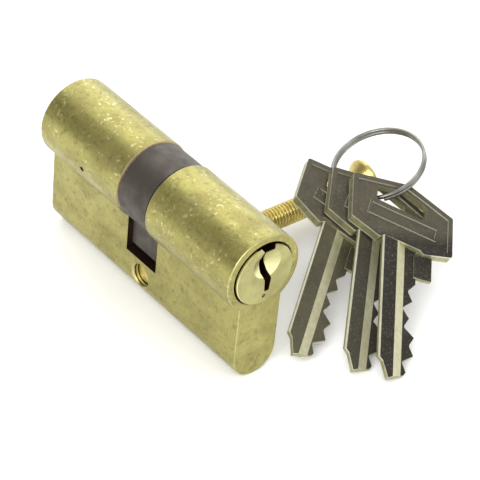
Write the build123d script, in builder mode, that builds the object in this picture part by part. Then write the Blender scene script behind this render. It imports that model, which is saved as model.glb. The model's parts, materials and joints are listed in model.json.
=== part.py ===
from build123d import *
import os
from math import cos, radians, sin, sqrt

# Euro profile double cylinder with its fixing screw and its keys on a split ring.
# Millimetres. The origin is on the plug axis at the middle of the cam, +X runs to the near end,
# +Z is up and the stem hangs down.

os.makedirs("parts", exist_ok=True)

# Body profile
BODY_LENGTH = 60.0
BARREL_R = 8.5
STEM_HALF = 5.0
STEM_ROUND_Z = -19.5
BELOW_STEM_Z = -26.0
EDGE_ROUND = 0.30
PUNCH_MARK = (-16.0, -8.4, -1.4)
PUNCH_MARK_R = 0.5

# Cam cut-out and the bridge below it
CUTOUT_WIDTH = 9.4
CUTOUT_FLOOR_Z = -15.0

# Plugs
PLUG_R = 6.30
BORE_R = 6.35
HEAD_R = 6.60
COUNTERBORE_R = 6.90
COUNTERBORE_DEPTH = 1.0
HEAD_PROUD = 0.5
HEAD_PLAY = 0.05
HEAD_BACK_X = BODY_LENGTH / 2 - COUNTERBORE_DEPTH + HEAD_PLAY
PLUG_FACE_X = BODY_LENGTH / 2 + HEAD_PROUD
MOUTH_CHAMFER = 0.15
NECK_R = 5.90
NECK_END = 2.6
GROOVE_R = 5.50
GROOVE_START = 4.00
GROOVE_END = 4.65
CLIP_R = 7.20
CLIP_THICKNESS = 0.60
CLIP_GAP = 5.0

# Keyway section, as y and z on the near plug: first the side that the key's face follows, top to
# bottom, then its back, bottom to top. The slot opens through the top of the plug.
KEYWAY_FRONT = [(-0.85, 3.90), (-1.20, 3.50), (-0.95, 0.60), (0.05, -1.40), (0.20, -4.10)]
KEYWAY_BACK = [(1.30, -4.10), (1.60, -1.40), (0.70, 0.60), (0.30, 2.90), (-0.05, 3.90)]
KEYWAY_TOP = [(-0.10, 5.25), (1.75, 5.35), (2.05, 7.00), (-1.75, 7.00), (-0.45, 5.25)]
KEYWAY_FIT = 0.10
ENTRY_CENTRE = (0.3, 2.5)
ENTRY_R = 3.3
ENTRY_FLOOR_R = 0.4
ENTRY_DEPTH = 1.25
INDEX_DIMPLE = (0.2, -5.1)
INDEX_DIMPLE_R = 0.45

# Pin stacks
PIN_PITCH = 4.0
FIRST_PIN_X = 11.2
PIN_COUNT = 5
PIN_R = 1.40
CHAMBER_R = 1.45
CHAMBER_TOP = 1.3
KEY_PIN_FOOT_Z = -6.17
DRIVER_TOP_Z = -6.38
DRIVER_LENGTH = 5.0
CHAMBER_PLUG_TOP_Z = -22.0
SPRING_WIRE = 0.35
SPRING_R = 1.15
SPRING_TURNS = 8

# Cam and clutch
CAM_HALF = 4.55
CAM_R = 8.25
CAM_TIP_R = 14.4
CAM_NOSE_HALF = 4.0
CAM_NOSE_ROUND = 0.8
CAM_CHAMFER = 0.25
CAM_BORE_R = 5.95
CAM_RECESS_R = 7.45
CAM_WEB_HALF = 3.8
CLUTCH_LENGTH = 4.0
CLUTCH_HALF_SPAN = 6.85
CLUTCH_HALF_HEIGHT = 1.2
CLUTCH_SLOT = 1.25

# Fixing screw
SCREW_Z = -18.8
SCREW_HOLE_R = 2.50
SCREW_HOLE_CHAMFER = 0.3
SCREW_R = 2.45
SCREW_TIP_Y = -3.6
SCREW_SEAT_Y = 51.0
SCREW_HEAD_R = 4.6
SCREW_HEAD_CONE = 2.3
SCREW_HEAD_DOME = 1.1
SCREW_CROSS_SPAN = 4.6
SCREW_CROSS_WIDTH = 0.9
SCREW_CROSS_DEPTH = 2.2

# Keys: u runs across the blade from its smooth back, v from the tip to the bow, and the front
# face of the bow is the u-v plane.
KEY_THICKNESS = 2.3
BOW_RIM = 1.0
BOW_RECESS = 0.35
BOW_ROUND = 0.5
BOW_OUTLINE = [
    (-6.9, 34.0), (-6.9, 43.9), (5.3, 44.3), (15.0, 39.1),
    (15.0, 30.0), (8.75, 29.1), (8.05, 29.9), (0.2, 31.4), (-0.6, 30.7),
]
BOW_HOLE = [(-1.6, 42.3), (4.0, 43.0), (9.4, 40.2), (9.4, 38.0), (8.5, 37.2), (-1.6, 39.4)]
BOW_HOLE_ROUND = 0.8
BAND_CENTRE = (4.2, 35.8)
BAND_LENGTH = 15.2
BAND_HEIGHT = 3.1
BAND_LINE = 0.45
BAND_TURN = -11.2
BLADE_HEIGHT = 7.8
BLADE_ROOT_V = 31.5
BLADE_BACK_DEPTH = (0.35, 1.2)
FIRST_CUT_V = 4.6
CUTS = [5.5, 6.9, 5.7, 5.3, 6.3]
CUT_FLAT = 0.5
CUT_PEAK = 0.95
CUTS_END_V = 22.6
BLADE_TIP = [(0, 4.3), (1.0, 3.3), (2.2, 0), (5.9, 1.9), (6.3, 2.6)]
SHOULDER_U = 11.0
SHOULDER_V = (23.9, 29.2)
SHOULDER_TOP = 1.0
SHOULDER_FOOT = 2.2
SHOULDER_LAP = 0.6

# How the keys lie: their planes fall by KEY_SLOPE towards KEY_FALL, seen from above
KEY_SLOPE = 27.4
KEY_FALL = 0.8
KEY_BLADE_HEADING = -45.0
KEY_TIPS = [(31.8, 5.7, -19.6), (40.7, 13.4, -21.3), (46.3, 17.4, -21.25)]
KEY_FANS = [-1.6, 7.4, 11.0]

# Split ring
RING_CENTRE = (8.95, 47.96, -6.9)
RING_R = 9.55
RING_WIRE = 0.75
RING_TILT = 19.85
RING_NOD = 10.76

FROM_BASE = (Align.CENTER, Align.CENTER, Align.MIN)


def save(part, label):
    part.label = label
    export_step(part, f"parts/{label}.step")


def pin_x(index, side):
    return side * (FIRST_PIN_X + index * PIN_PITCH)


def body_profile():
    Circle(BARREL_R)
    with Locations((0, STEM_ROUND_Z)):
        Circle(STEM_HALF)
    with Locations((0, STEM_ROUND_Z / 2)):
        Rectangle(2 * STEM_HALF, -STEM_ROUND_Z)


# --- Housing -------------------------------------------------------------------------------------

with BuildPart() as housing_body:
    with BuildSketch(Plane.YZ.offset(-BODY_LENGTH / 2)):
        body_profile()
    extrude(amount=BODY_LENGTH)
    ends = housing_body.faces().filter_by(Axis.X)
    fillet(ends.edges(), EDGE_ROUND)
    with BuildSketch(Plane.XZ.offset(-BARREL_R - 1)):
        with Locations((0, CUTOUT_FLOOR_Z)):
            Rectangle(CUTOUT_WIDTH, BARREL_R + 1 - CUTOUT_FLOOR_Z, align=(Align.CENTER, Align.MIN))
    extrude(amount=2 * BARREL_R + 2, mode=Mode.SUBTRACT)
    with BuildSketch(Plane.YZ.offset(-BODY_LENGTH / 2 - 1)):
        Circle(BORE_R)
    extrude(amount=BODY_LENGTH + 2, mode=Mode.SUBTRACT)
    for side in (-1, 1):
        with BuildSketch(Plane.YZ.offset(side * BODY_LENGTH / 2)):
            Circle(COUNTERBORE_R)
        extrude(amount=-side * COUNTERBORE_DEPTH, mode=Mode.SUBTRACT)
    mouths = housing_body.edges().filter_by(GeomType.CIRCLE)
    mouths = mouths.filter_by(lambda e: abs(e.radius - COUNTERBORE_R) < 0.01)
    chamfer(mouths.filter_by(lambda e: abs(e.center().X) > BODY_LENGTH / 2 - 0.1), MOUTH_CHAMFER)
    with BuildSketch(Plane.XY.offset(BELOW_STEM_Z)):
        with Locations(*[(pin_x(i, s), 0) for i in range(PIN_COUNT) for s in (-1, 1)]):
            Circle(CHAMBER_R)
    extrude(amount=-BELOW_STEM_Z - BORE_R + 1, mode=Mode.SUBTRACT)
    with BuildSketch(Plane.XZ.offset(-STEM_HALF)):
        with Locations((0, SCREW_Z)):
            Circle(SCREW_HOLE_R)
    extrude(amount=2 * STEM_HALF, mode=Mode.SUBTRACT)
    rims = housing_body.edges().filter_by(GeomType.CIRCLE)
    rims = rims.filter_by(lambda e: abs(e.radius - SCREW_HOLE_R) < 0.01)
    chamfer(rims, SCREW_HOLE_CHAMFER)
    with Locations(PUNCH_MARK):
        Sphere(PUNCH_MARK_R, mode=Mode.SUBTRACT)
save(housing_body.part, "housing_body")

with BuildPart() as chamber_plugs:
    with BuildSketch(Plane.XY.offset(BELOW_STEM_Z)):
        with Locations(*[(pin_x(i, s), 0) for i in range(PIN_COUNT) for s in (-1, 1)]):
            Circle(CHAMBER_R)
    extrude(amount=CHAMBER_PLUG_TOP_Z - BELOW_STEM_Z)
    with BuildSketch(Plane.YZ.offset(-BODY_LENGTH / 2)):
        body_profile()
    extrude(amount=BODY_LENGTH, mode=Mode.INTERSECT)
save(chamber_plugs.part, "chamber_plugs")


# --- Plugs and circlips --------------------------------------------------------------------------

with BuildPart() as plug_near:
    with BuildSketch(Plane.YZ.offset(NECK_END)):
        Circle(NECK_R)
    extrude(amount=GROOVE_END - NECK_END)
    with BuildSketch(Plane.YZ.offset(GROOVE_END)):
        Circle(PLUG_R)
    extrude(amount=HEAD_BACK_X - GROOVE_END)
    with BuildSketch(Plane.YZ.offset(HEAD_BACK_X)):
        Circle(HEAD_R)
    extrude(amount=PLUG_FACE_X - HEAD_BACK_X)
    chamfer(plug_near.edges().sort_by(Axis.X)[-1], MOUTH_CHAMFER)
    with BuildSketch(Plane.YZ.offset(GROOVE_START)):
        Circle(NECK_R + 1)
        Circle(GROOVE_R, mode=Mode.SUBTRACT)
    extrude(amount=GROOVE_END - GROOVE_START, mode=Mode.SUBTRACT)
    with BuildSketch(Plane.YZ.offset(NECK_END - 1)):
        with BuildLine():
            Polyline(*KEYWAY_FRONT, *KEYWAY_BACK, *KEYWAY_TOP, close=True)
        make_face()
    extrude(amount=BODY_LENGTH / 2, mode=Mode.SUBTRACT)
    with BuildSketch(Plane.YZ.offset(NECK_END)):
        Rectangle(2 * NECK_R + 1, 2 * CLUTCH_SLOT)
    extrude(amount=GROOVE_START - NECK_END, mode=Mode.SUBTRACT)
    with BuildSketch(Plane.XY.offset(-PLUG_R - 1)):
        with Locations(*[(pin_x(i, 1), 0) for i in range(PIN_COUNT)]):
            Circle(CHAMBER_R)
    extrude(amount=PLUG_R + 1 + CHAMBER_TOP, mode=Mode.SUBTRACT)
    with Locations(Location((PLUG_FACE_X, *ENTRY_CENTRE), (0, -90, 0))):
        Cone(ENTRY_R, ENTRY_FLOOR_R, ENTRY_DEPTH, align=FROM_BASE, mode=Mode.SUBTRACT)
    with Locations((PLUG_FACE_X, *INDEX_DIMPLE)):
        Sphere(INDEX_DIMPLE_R, mode=Mode.SUBTRACT)
save(plug_near.part, "plug_near")

with BuildPart() as circlip_near:
    with BuildSketch(Plane.YZ.offset(GROOVE_START + 0.02)):
        Circle(CLIP_R)
        Circle(GROOVE_R + 0.02, mode=Mode.SUBTRACT)
        with Locations((0, CLIP_R)):
            Rectangle(CLIP_GAP, CLIP_R, mode=Mode.SUBTRACT)
    extrude(amount=CLIP_THICKNESS)
save(circlip_near.part, "circlip_near")

for near, label in ((plug_near, "plug_far"), (circlip_near, "circlip_far")):
    with BuildPart() as far:
        add(near.part.rotate(Axis.Z, 180))
    save(far.part, label)


# --- Cam and clutch ------------------------------------------------------------------------------

with BuildPart() as cam:
    with BuildSketch(Plane.YZ.offset(-CAM_HALF)) as cam_face:
        Circle(CAM_R)
        with Locations((0, -CAM_TIP_R / 2)):
            Rectangle(2 * CAM_NOSE_HALF, CAM_TIP_R)
        Circle(CAM_TIP_R, mode=Mode.INTERSECT)
        fillet(cam_face.vertices().group_by(Axis.Z)[0], CAM_NOSE_ROUND)
    extrude(amount=2 * CAM_HALF)
    chamfer(cam.faces().filter_by(Axis.X).edges(), CAM_CHAMFER)
    with BuildSketch(Plane.YZ.offset(-CAM_HALF)):
        Circle(CAM_BORE_R)
    extrude(amount=2 * CAM_HALF, mode=Mode.SUBTRACT)
    for side in (-1, 1):
        with BuildSketch(Plane.YZ.offset(side * CAM_HALF)):
            Circle(CAM_RECESS_R)
        extrude(amount=-side * (CAM_HALF - CAM_WEB_HALF), mode=Mode.SUBTRACT)
    Box(2 * CAM_WEB_HALF, 2 * CLUTCH_HALF_SPAN + 0.1, 2 * CLUTCH_SLOT, mode=Mode.SUBTRACT)
save(cam.part, "cam")

with BuildPart() as clutch:
    with BuildSketch(Plane.YZ.offset(CAM_WEB_HALF - CLUTCH_LENGTH)):
        Circle(CLUTCH_HALF_SPAN)
        Rectangle(2 * CLUTCH_HALF_SPAN, 2 * CLUTCH_HALF_HEIGHT, mode=Mode.INTERSECT)
    extrude(amount=CLUTCH_LENGTH)
    chamfer(clutch.edges().filter_by(Axis.Y), 0.2)
save(clutch.part, "clutch")


# --- Pin stacks ----------------------------------------------------------------------------------


def key_pin(x, tip_z):
    with BuildPart() as pin:
        with BuildSketch(Plane.XY.offset(KEY_PIN_FOOT_Z)):
            with Locations((x, 0)):
                Circle(PIN_R)
        extrude(amount=tip_z - KEY_PIN_FOOT_Z)
        chamfer(pin.edges().group_by(Axis.Z)[-1], 0.6)
        chamfer(pin.edges().group_by(Axis.Z)[0], 0.25)
    return pin.part


def driver(x, spool):
    with BuildPart() as pin:
        with BuildSketch(Plane.XY.offset(DRIVER_TOP_Z - DRIVER_LENGTH)):
            with Locations((x, 0)):
                Circle(PIN_R)
        extrude(amount=DRIVER_LENGTH)
        chamfer(pin.edges().group_by(Axis.Z)[-1], 0.15)
        chamfer(pin.edges().group_by(Axis.Z)[0], 0.15)
        if spool:
            with BuildSketch(Plane.XY.offset(DRIVER_TOP_Z - 3.6)):
                with Locations((x, 0)):
                    Circle(PIN_R + 0.5)
                    Circle(PIN_R - 0.4, mode=Mode.SUBTRACT)
            extrude(amount=2.4, mode=Mode.SUBTRACT)
    return pin.part


def spring(x):
    foot = CHAMBER_PLUG_TOP_Z + SPRING_WIRE / 2 + 0.02
    height = DRIVER_TOP_Z - DRIVER_LENGTH - SPRING_WIRE / 2 - 0.02 - foot
    with BuildPart() as coil:
        with BuildLine():
            path = Helix(height / SPRING_TURNS, height, SPRING_R, center=(x, 0, foot))
        with BuildSketch(Plane(origin=path @ 0, z_dir=path % 0)):
            Circle(SPRING_WIRE / 2)
        sweep(path=path, is_frenet=True)
    return coil.part


KEY_BACK_Z = KEYWAY_FRONT[0][1] - KEYWAY_FIT
for side, name in ((1, "near"), (-1, "far")):
    for i in range(PIN_COUNT):
        x = pin_x(i, side)
        save(key_pin(x, KEY_BACK_Z - CUTS[i]), f"key_pin_{name}_{i + 1}")
        save(driver(x, spool=i in (1, 3)), f"driver_{name}_{i + 1}")
        save(spring(x), f"spring_{name}_{i + 1}")


# --- Fixing screw --------------------------------------------------------------------------------

with BuildPart() as fixing_screw:
    rim_y = SCREW_SEAT_Y + SCREW_HEAD_CONE + 0.3
    crown_y = rim_y + SCREW_HEAD_DOME
    crown_arc_r = (SCREW_HEAD_R ** 2 + SCREW_HEAD_DOME ** 2) / (2 * SCREW_HEAD_DOME)
    with BuildSketch(Plane.XY.offset(SCREW_Z)):
        with BuildLine():
            Polyline((0, crown_y), (0, SCREW_TIP_Y), (SCREW_R - 0.5, SCREW_TIP_Y),
                     (SCREW_R, SCREW_TIP_Y + 0.6), (SCREW_R, SCREW_SEAT_Y),
                     (SCREW_HEAD_R, rim_y - 0.3), (SCREW_HEAD_R, rim_y))
            RadiusArc((SCREW_HEAD_R, rim_y), (0, crown_y), -crown_arc_r)
        make_face()
    revolve(axis=Axis((0, 0, SCREW_Z), (0, 1, 0)))
    with BuildSketch(Plane.XZ.offset(-crown_y)):
        with Locations((0, SCREW_Z)):
            Rectangle(SCREW_CROSS_SPAN, SCREW_CROSS_WIDTH)
            Rectangle(SCREW_CROSS_WIDTH, SCREW_CROSS_SPAN)
    extrude(amount=SCREW_CROSS_DEPTH, mode=Mode.SUBTRACT)
save(fixing_screw.part, "fixing_screw")


# --- Keys and split ring -------------------------------------------------------------------------


def blade_outline():
    """Side outline of the blade: stepped tip, one notch for each pin, square shoulder."""
    points = [(0, BLADE_ROOT_V)] + BLADE_TIP
    for i, depth in enumerate(CUTS):
        v = FIRST_CUT_V + i * PIN_PITCH
        points += [(depth, v - CUT_FLAT / 2), (depth, v + CUT_FLAT / 2)]
        if i + 1 < len(CUTS):
            points.append((max(depth, CUTS[i + 1]) + CUT_PEAK, v + PIN_PITCH / 2))
    points += [(BLADE_HEIGHT, CUTS_END_V), (BLADE_HEIGHT, BLADE_ROOT_V)]
    return points


def blade_section():
    """The keyway's section less its play, as u and depth below the bow's front face."""
    face_y = KEYWAY_FRONT[1][0] + KEYWAY_FIT
    front = [(KEY_BACK_Z - z, face_y - y - KEYWAY_FIT) for y, z in KEYWAY_FRONT[1:]]
    back = [(KEY_BACK_Z - z, face_y - y + KEYWAY_FIT) for y, z in KEYWAY_BACK[:-1]]
    return [(0, -BLADE_BACK_DEPTH[0])] + front + back + [(0, -BLADE_BACK_DEPTH[1])]


with BuildPart() as key_blank:
    with BuildSketch(Plane.XY):
        with BuildLine():
            Polyline(*blade_outline(), close=True)
        make_face()
    extrude(amount=-KEY_THICKNESS)
    with BuildSketch(Plane.XZ.offset(-BLADE_ROOT_V)):
        with BuildLine():
            Polyline(*blade_section(), close=True)
        make_face()
    extrude(amount=BLADE_ROOT_V, mode=Mode.INTERSECT)
    with BuildSketch(Plane.XY.offset(-SHOULDER_TOP)):
        with Locations((SHOULDER_U, SHOULDER_V[0])):
            Rectangle(SHOULDER_U - BLADE_HEIGHT + SHOULDER_LAP, SHOULDER_V[1] - SHOULDER_V[0],
                      align=(Align.MAX, Align.MIN))
    extrude(amount=SHOULDER_TOP - SHOULDER_FOOT)
    with BuildSketch(Plane.XY) as bow_sketch:
        with BuildLine():
            Polyline(*BOW_OUTLINE, close=True)
        make_face()
        fillet(bow_sketch.vertices(), BOW_ROUND)
    extrude(amount=-KEY_THICKNESS)
    for face_z, inward in ((0, -1), (-KEY_THICKNESS, 1)):
        with BuildSketch(Plane.XY.offset(face_z)):
            with BuildLine():
                Polyline(*BOW_OUTLINE, close=True)
            make_face()
            offset(amount=-BOW_RIM)
        extrude(amount=inward * BOW_RECESS, mode=Mode.SUBTRACT)
        with BuildSketch(Plane.XY.offset(face_z)):
            with Locations(Location(BAND_CENTRE, BAND_TURN)):
                Rectangle(BAND_LENGTH, BAND_HEIGHT)
                Rectangle(BAND_LENGTH - 2 * BAND_LINE, BAND_HEIGHT - 2 * BAND_LINE, mode=Mode.SUBTRACT)
        extrude(amount=inward * BOW_RECESS)
    with BuildSketch(Plane.XY.offset(1)) as hole_sketch:
        with BuildLine():
            Polyline(*BOW_HOLE, close=True)
        make_face()
        fillet(hole_sketch.vertices(), BOW_HOLE_ROUND)
    extrude(amount=-KEY_THICKNESS - 2, mode=Mode.SUBTRACT)


key_normal = Vector(sin(radians(KEY_SLOPE)) * cos(radians(KEY_FALL)),
                    sin(radians(KEY_SLOPE)) * sin(radians(KEY_FALL)), cos(radians(KEY_SLOPE)))
heading = Vector(cos(radians(KEY_BLADE_HEADING)), sin(radians(KEY_BLADE_HEADING)), 0)
downhill = (heading - key_normal * heading.dot(key_normal)).normalized()
for number, (tip, fan) in enumerate(zip(KEY_TIPS, KEY_FANS), start=1):
    across = key_normal.cross(downhill).rotate(Axis((0, 0, 0), key_normal), fan)
    seat = Plane(origin=tip, x_dir=across, z_dir=key_normal)
    with BuildPart() as key:
        add(key_blank.part.moved(seat.location))
    save(key.part, f"key_{number}")

# The ring's plane rises by RING_TILT towards +X +Y and by RING_NOD towards -X +Y
level = Vector(sqrt(0.5), sqrt(0.5), 0)
rise = level * cos(radians(RING_TILT)) + Vector(0, 0, sin(radians(RING_TILT)))
ring_normal = rise.cross(Vector(-sqrt(0.5), sqrt(0.5), 0)).rotate(Axis((0, 0, 0), rise), RING_NOD)
ring_seat = Plane(origin=RING_CENTRE, x_dir=rise, z_dir=ring_normal)
with BuildPart() as ring_blank:
    with BuildSketch(Plane.XZ):
        with Locations((RING_R, 0)):
            RectangleRounded(RING_WIRE, 2 * RING_WIRE, RING_WIRE * 0.45)
    revolve(axis=Axis.Z)
with BuildPart() as split_ring:
    add(ring_blank.part.moved(ring_seat.location))
save(split_ring.part, "split_ring")
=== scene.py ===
import bmesh
import bpy
import json
import numpy as np
from math import cos, pi, radians, sin
from mathutils import Matrix, Vector


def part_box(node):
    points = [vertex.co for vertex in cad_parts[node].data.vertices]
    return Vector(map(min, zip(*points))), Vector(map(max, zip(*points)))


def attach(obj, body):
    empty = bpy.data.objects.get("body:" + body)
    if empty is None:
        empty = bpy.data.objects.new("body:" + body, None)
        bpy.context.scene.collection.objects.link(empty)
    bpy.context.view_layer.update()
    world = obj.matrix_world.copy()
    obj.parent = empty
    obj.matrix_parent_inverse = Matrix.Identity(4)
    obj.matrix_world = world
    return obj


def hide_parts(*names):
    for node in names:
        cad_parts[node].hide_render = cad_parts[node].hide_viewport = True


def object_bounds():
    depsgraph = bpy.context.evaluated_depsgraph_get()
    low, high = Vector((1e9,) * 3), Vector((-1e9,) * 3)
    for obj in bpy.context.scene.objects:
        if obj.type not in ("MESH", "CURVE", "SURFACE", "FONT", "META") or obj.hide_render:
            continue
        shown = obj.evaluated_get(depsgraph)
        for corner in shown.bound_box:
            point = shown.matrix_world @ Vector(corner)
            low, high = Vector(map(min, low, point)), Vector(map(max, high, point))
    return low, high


# Looks of the euro profile cylinder, its fixing screw and its keys. Metres, in the CAD's frame.

MM = 0.001
SAME_PLACE = 0.0005 * MM

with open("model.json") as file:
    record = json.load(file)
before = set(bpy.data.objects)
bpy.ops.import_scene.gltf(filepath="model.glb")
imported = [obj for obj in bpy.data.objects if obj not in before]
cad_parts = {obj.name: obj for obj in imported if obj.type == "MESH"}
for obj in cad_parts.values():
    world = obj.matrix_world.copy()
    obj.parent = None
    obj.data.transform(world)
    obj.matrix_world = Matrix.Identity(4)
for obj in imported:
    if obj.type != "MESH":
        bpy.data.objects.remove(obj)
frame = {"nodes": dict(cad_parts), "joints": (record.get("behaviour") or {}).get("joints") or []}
cad_box = [list(corner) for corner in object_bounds()]
NODES = frame["nodes"]
JOINTS = {joint["name"]: joint for joint in frame["joints"]}

# Camera: turntable angles and roll in degrees, focal length, and where it stands
CAMERA_AZIMUTH = 47.836
CAMERA_ELEVATION = 37.752
CAMERA_ROLL = 5.908
CAMERA_LENS = 180.3
CAMERA_PLACE = Vector((285.36, -237.97, 277.50)) * MM

# Places that are painted, in millimetres: the cam's cut-out in painted shade with a painted highlight on
# its cut edge, the cam's own painted highlight and shadow, the painted shade in the gap round a plug's
# head, the painted light and shade of the threaded hole, and the painted shade in a punch mark and in the
# index mark on a plug's face
CUTOUT_HALF = 4.72
CUTOUT_FLOOR = -15.1
CUTOUT_RIM_FOOT = -6.8
CUTOUT_RIM_R = (7.6, 7.8)
CAM_SHADOW_X = 4.15
CAM_HIGHLIGHT_X = 4.32
HEAD_GAP_R = 6.88
HEAD_GAP_X = 25
HEAD_SIDE_R = (6.57, 6.59)
PLUG_SKIN_R = (6.20, 6.28)
SCREW_LEVEL = -18.8
SCREW_HOLE_R = 2.53
SCREW_PITCH = 0.8
PUNCH_MARK = (-16.0, -8.4, -1.4)
PUNCH_MARK_R = 0.56
INDEX_MARK = (0.2, -5.1)
INDEX_MARK_R = 0.436
NOTCH_FOOT = (4.9, 5.2)
NOTCH_HALF = 2.2

# Height of the bright wall at the rims of the keys' faces (bright from wear and a painted highlight), and
# how soon it fades, in millimetres
RIM_WALL = 0.35
RIM_FADE = 0.05

# Where a key's blade meets its bow, from the tip, in millimetres
BLADE_SHOWN = 30.0
BOW_FADE = 3

# Colours, linear
BRASS = (0.365, 0.340, 0.112)
BRASS_WARM = (0.405, 0.362, 0.112)
BRASS_TARNISH = (0.120, 0.095, 0.035)
BRASS_BRIGHT = (0.80, 0.77, 0.42)
# painted highlight on the outer strip of the cam's cut-out
CUTOUT_EDGE_HIGHLIGHT = (0.62, 0.54, 0.36)
# painted shade in the screw's hole
HOLE_SHADE_BROWN = (0.10, 0.065, 0.025)
# painted shade on the keyway's walls
SLOT_SHADE_BROWN = (0.060, 0.018, 0.010)
# painted shade inside the cam's cut-out
CUTOUT_SHADE = (0.045, 0.026, 0.018)
PLUG_BRASS = (0.42, 0.395, 0.165)
PIN_BRASS = (0.66, 0.50, 0.20)
PIN_BRASS_DARK = (0.45, 0.33, 0.12)
# painted shade in gaps, deep recesses and small dents
SHADE_BROWN = (0.030, 0.012, 0.008)
CAM_DARK = (0.088, 0.076, 0.064)
CAM_BROWN = (0.050, 0.042, 0.036)
# painted shadow and painted highlight on the cam
CAM_GAP_SHADOW = (0.010, 0.008, 0.007)
CAM_HIGHLIGHT = (0.72, 0.62, 0.50)
STEEL = (0.52, 0.52, 0.53)
STEEL_DARK = (0.30, 0.30, 0.31)
SINTERED = (0.22, 0.21, 0.20)
SINTERED_DARK = (0.10, 0.095, 0.09)
ZINC_YELLOW = (0.74, 0.62, 0.22)
ZINC_BROWN = (0.36, 0.26, 0.07)
KEY_BOW = (0.120, 0.108, 0.076)
# Blade tones, darker from key 1 to key 3: painted shade
KEY_BLADE_SHADES = {1: (0.125, 0.115, 0.072), 2: (0.075, 0.069, 0.050), 3: (0.038, 0.034, 0.028)}
KEY_SOOT = (0.030, 0.026, 0.020)
KEY_SPECK = (0.24, 0.23, 0.17)
KEY_GROOVE = (0.60, 0.58, 0.39)
KEY_OLIVE = (0.36, 0.345, 0.19)
KEY_SHADE = (0.13, 0.12, 0.06)
# bright from wear, with a painted highlight, on the keys' edges and rim walls
KEY_BRIGHT = (0.88, 0.87, 0.76)
RING_GREY = (0.27, 0.27, 0.24)
RING_SHADE = (0.09, 0.09, 0.08)
PAPER = (0.90, 0.90, 0.90)
PAPER_LIGHT = (0.92, 0.92, 0.92)


# --- Material helpers ----------------------------------------------------------------------------


class Shader:
    """A Principled material with short calls for its texture nodes. Texture space is millimetres."""

    def __init__(self, name, metallic, roughness):
        self.material = bpy.data.materials.new(name)
        self.material.use_nodes = True
        self.tree = self.material.node_tree
        self.bsdf = self.tree.nodes["Principled BSDF"]
        self.bsdf.inputs["Metallic"].default_value = metallic
        self.bsdf.inputs["Roughness"].default_value = roughness
        self.coordinates = self.node("ShaderNodeTexCoord")

    def node(self, kind, **settings):
        made = self.tree.nodes.new(kind)
        for key, value in settings.items():
            setattr(made, key, value)
        return made

    def link(self, source, target):
        self.tree.links.new(source, target)

    def space(self, stretch=(1, 1, 1)):
        """Object space in millimetres, with each axis scaled by stretch."""
        mapping = self.node("ShaderNodeMapping")
        mapping.inputs["Scale"].default_value = [s / MM for s in stretch]
        self.link(self.coordinates.outputs["Object"], mapping.inputs["Vector"])
        return mapping.outputs["Vector"]

    def noise(self, scale, detail=3.0, stretch=(1, 1, 1), low=0.4, high=0.6):
        """Noise spread so that low becomes 0 and high becomes 1."""
        noise = self.node("ShaderNodeTexNoise")
        noise.inputs["Scale"].default_value = scale
        noise.inputs["Detail"].default_value = detail
        self.link(self.space(stretch), noise.inputs["Vector"])
        spread = self.node("ShaderNodeMapRange")
        spread.inputs["From Min"].default_value = low
        spread.inputs["From Max"].default_value = high
        self.link(noise.outputs["Fac"], spread.inputs["Value"])
        return spread.outputs["Result"]

    def math(self, operation, first, second=None):
        made = self.node("ShaderNodeMath", operation=operation)
        for socket, value in zip(made.inputs, (first, second)):
            if value is None:
                continue
            if isinstance(value, (int, float)):
                socket.default_value = value
            else:
                self.link(value, socket)
        return made.outputs["Value"]

    def both(self, first, second):
        return self.math("MULTIPLY", first, second)

    def either(self, first, second):
        return self.math("MAXIMUM", first, second)

    def without(self, mask):
        return self.math("SUBTRACT", 1, mask)

    def below(self, value, limit):
        return self.math("LESS_THAN", value, limit)

    def above(self, value, limit):
        return self.math("GREATER_THAN", value, limit)

    def reach(self, first, second):
        """Distance from an axis, given the two coordinates square to it."""
        squares = self.math("ADD", self.math("POWER", first, 2), self.math("POWER", second, 2))
        return self.math("SQRT", squares)

    def level(self, direction):
        """How far along direction a point of the surface lies, in millimetres."""
        dot = self.node("ShaderNodeVectorMath", operation="DOT_PRODUCT")
        dot.inputs[1].default_value = direction
        self.link(self.space(), dot.inputs[0])
        return dot.outputs["Value"]

    def near(self, place, distance):
        """1 within distance of a place, both in millimetres, and 0 beyond."""
        apart = self.node("ShaderNodeVectorMath", operation="DISTANCE")
        apart.inputs[1].default_value = place
        self.link(self.space(), apart.inputs[0])
        return self.below(apart.outputs["Value"], distance)

    def mix(self, factor, first, second):
        """Colour mix. A colour is a triple or a socket."""
        made = self.node("ShaderNodeMix", data_type="RGBA")
        if isinstance(factor, (int, float)):
            made.inputs[0].default_value = factor
        else:
            self.link(factor, made.inputs[0])
        for socket, value in ((made.inputs[6], first), (made.inputs[7], second)):
            if isinstance(value, tuple):
                socket.default_value = (*value, 1)
            else:
                self.link(value, socket)
        return made.outputs[2]

    def colour(self, socket):
        self.link(socket, self.bsdf.inputs["Base Color"])

    def roughness(self, factor, low, high):
        spread = self.node("ShaderNodeMapRange")
        spread.inputs["To Min"].default_value = low
        spread.inputs["To Max"].default_value = high
        self.link(factor, spread.inputs["Value"])
        self.link(spread.outputs["Result"], self.bsdf.inputs["Roughness"])

    def bump(self, height, strength, distance=0.02 * MM):
        bump = self.node("ShaderNodeBump")
        bump.inputs["Strength"].default_value = strength
        bump.inputs["Distance"].default_value = distance
        self.link(height, bump.inputs["Height"])
        self.link(bump.outputs["Normal"], self.bsdf.inputs["Normal"])

    def separate(self, vector):
        made = self.node("ShaderNodeSeparateXYZ")
        self.link(vector, made.inputs[0])
        return made.outputs

    def facing(self, direction):
        """How squarely the surface faces along direction, either way, from 0 to 1."""
        dot = self.node("ShaderNodeVectorMath", operation="DOT_PRODUCT")
        dot.inputs[1].default_value = direction
        self.link(self.coordinates.outputs["Normal"], dot.inputs[0])
        return self.math("ABSOLUTE", dot.outputs["Value"])

    def band(self, value, low, high):
        """0 below low, 1 above high, straight between."""
        spread = self.node("ShaderNodeMapRange")
        spread.inputs["From Min"].default_value = low
        spread.inputs["From Max"].default_value = high
        self.link(value, spread.inputs["Value"])
        return spread.outputs["Result"]


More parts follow.
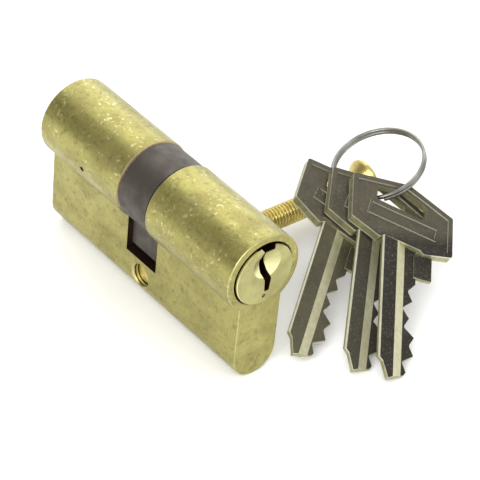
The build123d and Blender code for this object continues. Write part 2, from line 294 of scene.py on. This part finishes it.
def brass_body():
    """Drawn brass: cloudy tarnish, brown flecks, patches of bright ones that are partly wear and partly
    painted glints, more on the barrel, painted highlights on slanted faces, fine lines along X, small
    dents. The cam's cut-out is painted shade with a painted highlight on its cut edge, the gap round each
    plug's head and the punch mark are painted shade, and the screw's hole shows its thread in painted
    light and shade."""
    s = Shader("brass_body", metallic=0.80, roughness=0.36)
    x, y, z = s.separate(s.space())
    cloud = s.noise(0.22, detail=5, stretch=(0.6, 1, 1), low=0.40, high=0.66)
    fleck = s.noise(0.95, detail=6, low=0.53, high=0.68)
    bright = s.noise(1.3, detail=6, low=0.56, high=0.66)
    patch = s.noise(0.26, detail=3, low=0.46, high=0.60)
    streak = s.noise(1.4, detail=3, stretch=(0.06, 1, 1), low=0.3, high=0.7)
    sand = s.noise(3.2, detail=4, low=0.35, high=0.65)
    wear_and_painted_light = s.mix(s.both(streak, 0.8), BRASS, BRASS_WARM)
    wear_and_painted_light = s.mix(s.both(cloud, 0.30), wear_and_painted_light, BRASS_TARNISH)
    wear_and_painted_light = s.mix(s.both(sand, 0.22), wear_and_painted_light, BRASS_TARNISH)
    wear_and_painted_light = s.mix(s.both(fleck, 0.42), wear_and_painted_light, BRASS_TARNISH)
    # Bright flecks, more on the barrel's upper part: partly wear, partly painted glints
    barrel = s.band(z, -5, 1)
    wear_and_highlight = s.math("ADD", 0.07, s.both(s.both(barrel, patch), 0.45))
    wear_and_painted_light = s.mix(s.both(bright, wear_and_highlight), wear_and_painted_light, BRASS_BRIGHT)
    # Slanted faces such as chamfers get a painted highlight
    slope = s.facing((1, 0, 0))
    edge = s.both(s.band(slope, 0.2, 0.5), s.without(s.band(slope, 0.8, 0.95)))
    wear_and_painted_light = s.mix(s.both(edge, 0.3), wear_and_painted_light, BRASS_BRIGHT)

    radius = s.reach(y, z)
    run = s.math("ABSOLUTE", x)
    # The cam's cut-out is painted shade, with a painted highlight on its outer strip above
    # CUTOUT_RIM_FOOT
    cutout = s.both(s.below(run, CUTOUT_HALF), s.above(z, CUTOUT_FLOOR))
    cutout_highlight = s.both(s.band(radius, *CUTOUT_RIM_R), s.above(z, CUTOUT_RIM_FOOT))
    shown = s.mix(cutout, wear_and_painted_light, s.mix(cutout_highlight, CUTOUT_SHADE, CUTOUT_EDGE_HIGHLIGHT))
    # Inside the screw's hole the turns are painted: painted highlight on the crests, painted shade
    # between them
    hole = s.below(s.reach(x, s.math("SUBTRACT", z, SCREW_LEVEL)), SCREW_HOLE_R)
    turn = s.math("SINE", s.both(y, 2 * pi / SCREW_PITCH))
    shown = s.mix(hole, shown, s.mix(s.band(turn, -0.3, 0.3), HOLE_SHADE_BROWN, BRASS_BRIGHT))
    # The gap round each plug's head and the punch mark are painted shade
    gap = s.both(s.below(radius, HEAD_GAP_R), s.above(run, HEAD_GAP_X))
    s.colour(s.mix(s.either(gap, s.near(PUNCH_MARK, PUNCH_MARK_R)), shown, SHADE_BROWN))

    s.roughness(cloud, 0.30, 0.48)
    lines = s.noise(6.0, detail=2, stretch=(0.05, 1, 1), low=0.2, high=0.8)
    dents = s.noise(0.8, detail=6, stretch=(0.6, 1, 1), low=0.2, high=0.8)
    height = s.math("ADD", s.both(lines, 0.5), s.both(dents, 2.2))
    s.bump(s.math("SUBTRACT", height, fleck), 0.5)
    return s.material


def plug_brass():
    """Turned brass face with a satin ring grain and a painted highlight on the key entry, stronger low on
    the face. The keyway, its notch, the pin chambers, the side of the head and the index mark are painted
    shade."""
    s = Shader("plug_brass", metallic=0.85, roughness=0.34)
    x, y, z = s.separate(s.space())
    radius = s.reach(y, z)
    depth = s.math("SUBTRACT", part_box("plug_near")[1].x / MM, s.math("ABSOLUTE", x))
    cloud = s.noise(0.35, detail=4, low=0.35, high=0.7)
    fleck = s.noise(2.4, detail=4, low=0.60, high=0.75)
    wear_and_painted_light = s.mix(s.both(cloud, 0.30), PLUG_BRASS, BRASS_TARNISH)
    wear_and_painted_light = s.mix(s.both(fleck, 0.35), wear_and_painted_light, BRASS_TARNISH)

    slope = s.facing((1, 0, 0))
    # Painted highlight on the key entry's slopes, stronger low on the face
    entry_highlight = s.both(s.below(slope, 0.97), s.band(depth, 0.02, 0.06))
    highlight_share = s.math("SUBTRACT", 0.9, s.both(s.band(z, 0.6, 3.0), 0.75))
    wear_and_painted_light = s.mix(s.both(entry_highlight, highlight_share), wear_and_painted_light, BRASS_BRIGHT)
    inner = s.without(s.band(radius, *PLUG_SKIN_R))
    # The keyway's walls near the face are painted shade
    slot_shade = s.both(s.below(slope, 0.2), s.band(depth, 0.04, 0.10))
    wear_and_painted_light = s.mix(s.both(slot_shade, inner), wear_and_painted_light, SLOT_SHADE_BROWN)
    # The index mark's dimple is painted shade
    off_y = s.math("SUBTRACT", s.both(y, s.math("SIGN", x)), INDEX_MARK[0])
    off_z = s.math("SUBTRACT", z, INDEX_MARK[1])
    wear_and_painted_light = s.mix(s.below(s.reach(off_y, off_z), INDEX_MARK_R), wear_and_painted_light, BRASS_TARNISH)

    # Painted shade deep in the keyway and pin chambers, in the notch and on the side of the head
    deep = s.both(s.band(depth, 1.2, 1.6), inner)
    notch = s.both(s.band(z, *NOTCH_FOOT), s.below(s.math("ABSOLUTE", y), NOTCH_HALF))
    notch = s.both(notch, s.band(depth, 0.12, 0.30))
    side = s.both(s.band(radius, *HEAD_SIDE_R), s.band(depth, 0.35, 0.55))
    s.colour(s.mix(s.either(s.either(deep, notch), side), wear_and_painted_light, SHADE_BROWN))
    s.roughness(cloud, 0.28, 0.42)
    grain = s.math("SINE", s.both(radius, 38))
    s.bump(s.math("ADD", s.both(grain, 0.25), s.noise(3.5, low=0.2, high=0.8)), 0.15)
    return s.material


def cam_steel():
    """Dark burnished steel, with a painted highlight on the far side and a painted shadow by the gap on
    the near side.
    """
    s = Shader("cam_steel", metallic=0.7, roughness=0.42)
    cloud = s.noise(0.35, detail=4, low=0.35, high=0.68)
    speck = s.noise(3.0, detail=3, low=0.58, high=0.72)
    tone = s.mix(s.both(cloud, 0.7), CAM_DARK, CAM_BROWN)
    tone = s.mix(s.both(speck, 0.4), tone, CAM_BROWN)
    x = s.separate(s.space())[0]
    # Painted highlight on the far side, painted shadow next to the gap on the near side
    tone = s.mix(s.below(x, -CAM_HIGHLIGHT_X), tone, CAM_HIGHLIGHT)
    s.colour(s.mix(s.band(x, CAM_SHADOW_X, CAM_SHADOW_X + 0.15), tone, CAM_GAP_SHADOW))
    s.roughness(cloud, 0.40, 0.55)
    s.bump(s.noise(4.0, detail=3, stretch=(0.3, 1, 1), low=0.2, high=0.8), 0.25)
    return s.material


def plain_metal(name, light, dark, metallic, rough, cloud_scale, grain, grain_stretch=(1, 1, 1)):
    """Metal with cloudy colour between two tones, uneven gloss and a fine grain."""
    s = Shader(name, metallic=metallic, roughness=rough)
    cloud = s.noise(cloud_scale, detail=4, low=0.35, high=0.68)
    speck = s.noise(grain * 2.5, detail=3, low=0.58, high=0.72)
    s.colour(s.mix(s.either(s.both(cloud, 0.7), s.both(speck, 0.5)), light, dark))
    s.roughness(cloud, rough, min(rough + 0.16, 1))
    s.bump(s.noise(grain, detail=3, stretch=grain_stretch, low=0.2, high=0.8), 0.2)
    return s.material


def key_metal(number):
    """Nickel silver: the ground faces are dark and speckled, with the blades in painted shade that
    deepens from key 1 to key 3, the groove is pale, the sides are olive, and the first bit of every wall
    below the front and back faces is bright from wear and a painted highlight."""
    points = np.array([v.co for v in NODES[f"key_{number}"].data.vertices])
    face_way = Vector(JOINTS[f"key_{number}_swing"]["axis"])
    length_way = Vector(np.linalg.svd(points - points.mean(0), full_matrices=False)[2][0])
    length_way = length_way if length_way.z > 0 else -length_way
    levels = points @ np.array(face_way) / MM
    tip = (points @ np.array(length_way)).min() / MM

    s = Shader(f"key_faces_{number}", metallic=0.62, roughness=0.42)
    height = s.level(face_way)
    # The first bit of wall below each face: bright from wear and a painted highlight
    near_front = s.band(height, levels.max() - RIM_WALL - RIM_FADE, levels.max() - RIM_WALL)
    near_back = s.without(s.band(height, levels.min() + RIM_WALL, levels.min() + RIM_WALL + RIM_FADE))
    wear_and_highlight = s.either(near_front, near_back)
    cloud = s.noise(0.22, detail=4, low=0.35, high=0.7)
    speck = s.noise(2.6, detail=4, low=0.55, high=0.72)
    mottle = s.noise(0.9, detail=4, low=0.40, high=0.66)
    bow = s.band(s.level(length_way), tip + BLADE_SHOWN, tip + BLADE_SHOWN + BOW_FADE)
    dark = s.mix(bow, KEY_BLADE_SHADES[number], KEY_BOW)
    dark = s.mix(s.both(cloud, 0.45), dark, KEY_SOOT)
    dark = s.mix(s.both(speck, 0.45), dark, KEY_SPECK)
    olive = s.mix(s.both(mottle, 0.45), KEY_OLIVE, KEY_SHADE)
    wall = s.mix(s.both(wear_and_highlight, 0.55), olive, KEY_BRIGHT)
    groove = s.mix(s.both(mottle, 0.35), KEY_GROOVE, KEY_OLIVE)
    squareness = s.facing(face_way)
    slant = s.mix(s.band(squareness, 0.6, 0.8), wall, groove)
    s.colour(s.mix(s.band(squareness, 0.91, 0.97), slant, dark))
    s.roughness(cloud, 0.34, 0.50)
    s.bump(s.noise(5.0, detail=3, low=0.2, high=0.8), 0.18)
    return s.material


def bright_edge():
    """Edges bright from wear, with a painted highlight."""
    s = Shader("key_edges", metallic=0.8, roughness=0.25)
    wear = s.noise(0.8, detail=4, low=0.45, high=0.75)
    s.colour(s.mix(s.both(wear, 0.5), KEY_BRIGHT, KEY_OLIVE))
    s.roughness(wear, 0.2, 0.4)
    return s.material


# --- CAD nodes -----------------------------------------------------------------------------------


EDGE_ANGLE = radians(32)
KEY_EDGE = 0.11 * MM
ALONG_Z = (0.2, 0.2, 1)


def dress(node, *materials, edge=0.0, edge_material=0):
    """Gives a CAD node its materials and, where edge isn't 0, a small round on its sharp edges."""
    piece = NODES[node]
    piece.data.materials.clear()
    for material in materials:
        piece.data.materials.append(material)
    if edge:
        weld = piece.modifiers.new("weld", "WELD")
        weld.merge_threshold = SAME_PLACE
        bevel = piece.modifiers.new("edges", "BEVEL")
        bevel.width = edge
        bevel.segments = 2
        bevel.limit_method = "ANGLE"
        bevel.angle_limit = EDGE_ANGLE
        bevel.use_clamp_overlap = True
        bevel.material = edge_material
        normals = piece.modifiers.new("flat_faces", "WEIGHTED_NORMAL")
        normals.weight = 100
        normals.keep_sharp = True


body_material = brass_body()
plug_material = plug_brass()
spring_material = plain_metal("spring_steel", STEEL, STEEL_DARK, 0.9, 0.3, cloud_scale=1.2, grain=9.0)
clutch_material = plain_metal("clutch_steel", SINTERED, SINTERED_DARK, 0.7, 0.5, cloud_scale=2.0,
                              grain=8.0)
screw_material = plain_metal("screw_zinc", ZINC_YELLOW, ZINC_BROWN, 0.9, 0.25, cloud_scale=0.5, grain=5.0)
ring_material = plain_metal("ring_wire", RING_GREY, RING_SHADE, 0.9, 0.24, cloud_scale=0.3, grain=5.0)
pin_material = plain_metal("pin_brass", PIN_BRASS, PIN_BRASS_DARK, 0.95, 0.22, cloud_scale=0.8, grain=7.0,
                           grain_stretch=ALONG_Z)
driver_material = plain_metal("driver_steel", STEEL, STEEL_DARK, 0.95, 0.22, cloud_scale=0.8, grain=7.0,
                              grain_stretch=ALONG_Z)
edge_material = bright_edge()

dress("housing_body", body_material)
dress("chamber_plugs", body_material)
dress("cam", cam_steel())
dress("clutch", clutch_material)
for side in ("near", "far"):
    dress(f"plug_{side}", plug_material)
    dress(f"circlip_{side}", spring_material)
stack_materials = {"key_pin_": pin_material, "driver_": driver_material, "spring_": spring_material}
for start, material in stack_materials.items():
    for node in NODES:
        if node.startswith(start):
            dress(node, material)
for number in KEY_BLADE_SHADES:
    dress(f"key_{number}", key_metal(number), edge_material, edge=KEY_EDGE, edge_material=1)


# --- Fixing screw --------------------------------------------------------------------------------

THREAD_PITCH = SCREW_PITCH * MM
THREAD_DEPTH = 0.42 * MM
CREST_SHARE = 0.16
FLANK_SHARE = 0.62
TIP_SHARE = 0.80
TIP_LENGTH = 0.6 * MM
THREAD_STEPS = 40
SLICES_PER_PITCH = 10
HEAD_LENGTH = 3.75 * MM


def thread_radius(turns, crest):
    """Radius of a 60 degree thread with flat crests and roots, turns being the place in one pitch."""
    t = abs((turns % 1) * 2 - 1)
    flank = min(max((t - CREST_SHARE) / FLANK_SHARE, 0), 1)
    return crest - THREAD_DEPTH * (1 - flank)


def threaded_screw():
    """The fixing screw with a real M5 thread. Its head is the CAD head, cut off where the thread ends."""
    low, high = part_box("fixing_screw")
    axis_x, axis_z = (low.x + high.x) / 2, (low.z + high.z) / 2
    seat_y = high.y - HEAD_LENGTH
    mesh = bmesh.new()
    mesh.from_mesh(NODES["fixing_screw"].data)
    bmesh.ops.remove_doubles(mesh, verts=mesh.verts, dist=SAME_PLACE)
    whole = mesh.verts[:] + mesh.edges[:] + mesh.faces[:]
    seat = Vector((0, seat_y, 0))
    bmesh.ops.bisect_plane(mesh, geom=whole, plane_co=seat, plane_no=(0, 1, 0), clear_inner=True)
    cut = [v.co for v in mesh.verts if v.co.y < seat_y + 0.01 * MM]
    crest = max((co - Vector((axis_x, co.y, axis_z))).length for co in cut)
    slices = int((seat_y - low.y) / THREAD_PITCH * SLICES_PER_PITCH)
    rings = []
    for i in range(slices + 1):
        y = low.y + (seat_y - low.y) * i / slices
        taper = min(1, TIP_SHARE + (y - low.y) / TIP_LENGTH * (1 - TIP_SHARE))
        ring = []
        for j in range(THREAD_STEPS):
            angle = 2 * pi * j / THREAD_STEPS
            radius = min(thread_radius(y / THREAD_PITCH - j / THREAD_STEPS, crest), crest * taper)
            ring.append(mesh.verts.new((axis_x + radius * cos(angle), y, axis_z + radius * sin(angle))))
        rings.append(ring)
    for lower, upper in zip(rings, rings[1:]):
        for j in range(THREAD_STEPS):
            k = (j + 1) % THREAD_STEPS
            mesh.faces.new((lower[j], upper[j], upper[k], lower[k]))
    mesh.faces.new(rings[0])
    bmesh.ops.recalc_face_normals(mesh, faces=mesh.faces)
    data = bpy.data.meshes.new("fixing_screw_threaded")
    mesh.to_mesh(data)
    mesh.free()
    screw = bpy.data.objects.new("fixing_screw_threaded", data)
    bpy.context.scene.collection.objects.link(screw)
    data.materials.append(screw_material)
    data.shade_smooth()
    data.set_sharp_from_angle(angle=radians(35))
    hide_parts("fixing_screw")
    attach(screw, "fixing_screw")


threaded_screw()


# --- Split ring ----------------------------------------------------------------------------------

RING_STEPS = 260
CROSSING = radians(46)
END_GAP = radians(5)
WIRE_SIDES = 16
CROSSING_AT = radians(-20)
WIRE_PLAY = 0.98
WIRE_SQUARENESS = 0.6
END_SHRINK = {0: 0.80, 1: 0.97}


def rounded(value):
    """Sine or cosine pushed out towards a rounded square."""
    return abs(value) ** WIRE_SQUARENESS * (1 if value > 0 else -1)


def ring_frame():
    """The CAD ring's centre, two axes in its plane, its normal, its middle radius and its section."""
    points = np.array([v.co for v in NODES["split_ring"].data.vertices])
    axes = np.linalg.svd(points - points.mean(0), full_matrices=False)[2]
    flat = points @ axes[:2].T
    fit = np.linalg.lstsq(np.c_[2 * flat, np.ones(len(flat))], (flat ** 2).sum(1), rcond=None)[0]
    radii = np.hypot(*(flat - fit[:2]).T)
    levels = points @ axes[2]
    centre = fit[0] * axes[0] + fit[1] * axes[1] + (levels.max() + levels.min()) / 2 * axes[2]
    normal = Vector(axes[2]) if axes[2][2] > 0 else -Vector(axes[2])
    across = Vector((0, 0, 1)).cross(normal).normalized()
    section = radii.max() - radii.min(), levels.max() - levels.min()
    return Vector(centre), across, normal.cross(across), normal, (radii.max() + radii.min()) / 2, *section


def split_ring():
    """Two turns of wire that lie on each other and cross over on one side, with both ends free."""
    centre, across, along, normal, radius, width, height = ring_frame()
    rise = height / 4
    end = 4 * pi - CROSSING - END_GAP
    mesh = bmesh.new()
    rings = []
    for i in range(RING_STEPS * 2 + 1):
        turn = end * i / (RING_STEPS * 2)
        step = min(max((turn - (2 * pi - CROSSING)) / CROSSING, 0), 1)
        level = -rise + 2 * rise * step * step * (3 - 2 * step)
        angle = turn + CROSSING_AT
        out = across * cos(angle) + along * sin(angle)
        middle = centre + out * radius + normal * level
        shrink = END_SHRINK.get(min(i, RING_STEPS * 2 - i), 1)
        ring = []
        for j in range(WIRE_SIDES):
            a = 2 * pi * j / WIRE_SIDES
            side = rounded(cos(a)) * width / 2 * WIRE_PLAY
            up = rounded(sin(a)) * height / 4 * WIRE_PLAY
            ring.append(mesh.verts.new(middle + (out * side + normal * up) * shrink))
        rings.append(ring)
    for one, other in zip(rings, rings[1:]):
        for j in range(WIRE_SIDES):
            k = (j + 1) % WIRE_SIDES
            mesh.faces.new((one[j], one[k], other[k], other[j]))
    mesh.faces.new(rings[0][::-1])
    mesh.faces.new(rings[-1])
    bmesh.ops.recalc_face_normals(mesh, faces=mesh.faces)
    data = bpy.data.meshes.new("split_ring_wire")
    mesh.to_mesh(data)
    mesh.free()
    data.shade_smooth()
    data.set_sharp_from_angle(angle=radians(50))
    wire = bpy.data.objects.new("split_ring_wire", data)
    bpy.context.scene.collection.objects.link(wire)
    data.materials.append(ring_material)
    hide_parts("split_ring")
    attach(wire, "split_ring")


split_ring()


# --- Camera, floor and light ---------------------------------------------------------------------

FLOOR_REACH = 3.0
ROOM_WHITE = (1.0, 1.0, 0.99)
ROOM_STRENGTH = 0.85
FLAG_DARK = (0.20, 0.18, 0.16)

# Dark flags: the way to each, and the cosines at which it begins and is whole
FLAGS = [((-0.586, -0.657, 0.464), 0.82, 0.97), ((0.16, 0.54, 0.83), 0.88, 0.97)]

# Soft lamps: place and width in metres, power in watts
LAMPS = {
    "top_light": ((-0.45, 0.45, 0.55), 1.10, 6),
    "front_light": ((0.35, -0.65, 0.55), 0.70, 8.5),
    "side_light": ((0.7, 0.35, 0.25), 0.60, 1.5),
}


def camera():
    azimuth, elevation = radians(CAMERA_AZIMUTH), radians(CAMERA_ELEVATION)
    roll = Matrix.Rotation(radians(CAMERA_ROLL), 3, "Z")
    back = Vector((sin(azimuth) * cos(elevation), -cos(azimuth) * cos(elevation), sin(elevation)))
    right = Vector((cos(azimuth), sin(azimuth), 0))
    view = Matrix((right, back.cross(right), back)).transposed() @ roll
    data = bpy.data.cameras.new("camera")
    data.lens = CAMERA_LENS
    data.clip_start = 0.01
    made = bpy.data.objects.new("camera", data)
    made.matrix_world = Matrix.Translation(CAMERA_PLACE) @ view.to_4x4()
    bpy.context.scene.collection.objects.link(made)
    bpy.context.scene.camera = made


def floor():
    s = Shader("floor_paper", metallic=0, roughness=0.9)
    s.colour(s.mix(s.noise(0.02, low=0.3, high=0.7), PAPER, PAPER_LIGHT))
    data = bpy.data.meshes.new("floor")
    signs = ((-1, -1), (1, -1), (1, 1), (-1, 1))
    corners = [(x * FLOOR_REACH, y * FLOOR_REACH, cad_box[0][2]) for x, y in signs]
    data.from_pydata(corners, [], [(0, 1, 2, 3)])
    data.materials.append(s.material)
    made = bpy.data.objects.new("floor", data)
    bpy.context.scene.collection.objects.link(made)


def lamp(name, place, aim, size, power):
    data = bpy.data.lights.new(name, "AREA")
    data.size = size
    data.energy = power
    made = bpy.data.objects.new(name, data)
    made.location = place
    made.rotation_euler = (Vector(aim) - Vector(place)).to_track_quat("-Z", "Y").to_euler()
    bpy.context.scene.collection.objects.link(made)


def studio_world():
    """A white room with dark flags, which the barrel and the keys reflect."""
    world = bpy.data.worlds.new("studio")
    world.use_nodes = True
    tree = world.node_tree
    direction = tree.nodes.new("ShaderNodeTexCoord").outputs["Generated"]
    colour = (*ROOM_WHITE, 1)
    for toward, wide, narrow in FLAGS:
        dot = tree.nodes.new("ShaderNodeVectorMath")
        dot.operation = "DOT_PRODUCT"
        dot.inputs[1].default_value = Vector(toward).normalized()
        tree.links.new(direction, dot.inputs[0])
        spread = tree.nodes.new("ShaderNodeMapRange")
        spread.interpolation_type = "SMOOTHSTEP"
        spread.inputs["From Min"].default_value = wide
        spread.inputs["From Max"].default_value = narrow
        tree.links.new(dot.outputs["Value"], spread.inputs["Value"])
        mix = tree.nodes.new("ShaderNodeMix")
        mix.data_type = "RGBA"
        tree.links.new(spread.outputs["Result"], mix.inputs[0])
        if isinstance(colour, tuple):
            mix.inputs[6].default_value = colour
        else:
            tree.links.new(colour, mix.inputs[6])
        mix.inputs[7].default_value = (*FLAG_DARK, 1)
        colour = mix.outputs[2]
    tree.links.new(colour, tree.nodes["Background"].inputs["Color"])
    tree.nodes["Background"].inputs["Strength"].default_value = ROOM_STRENGTH
    bpy.context.scene.world = world


camera()
floor()
studio_world()
middle = (Vector(cad_box[0]) + Vector(cad_box[1])) / 2
for name, (place, size, power) in LAMPS.items():
    lamp(name, place, middle, size, power)
bpy.context.scene.view_settings.view_transform = "Standard"
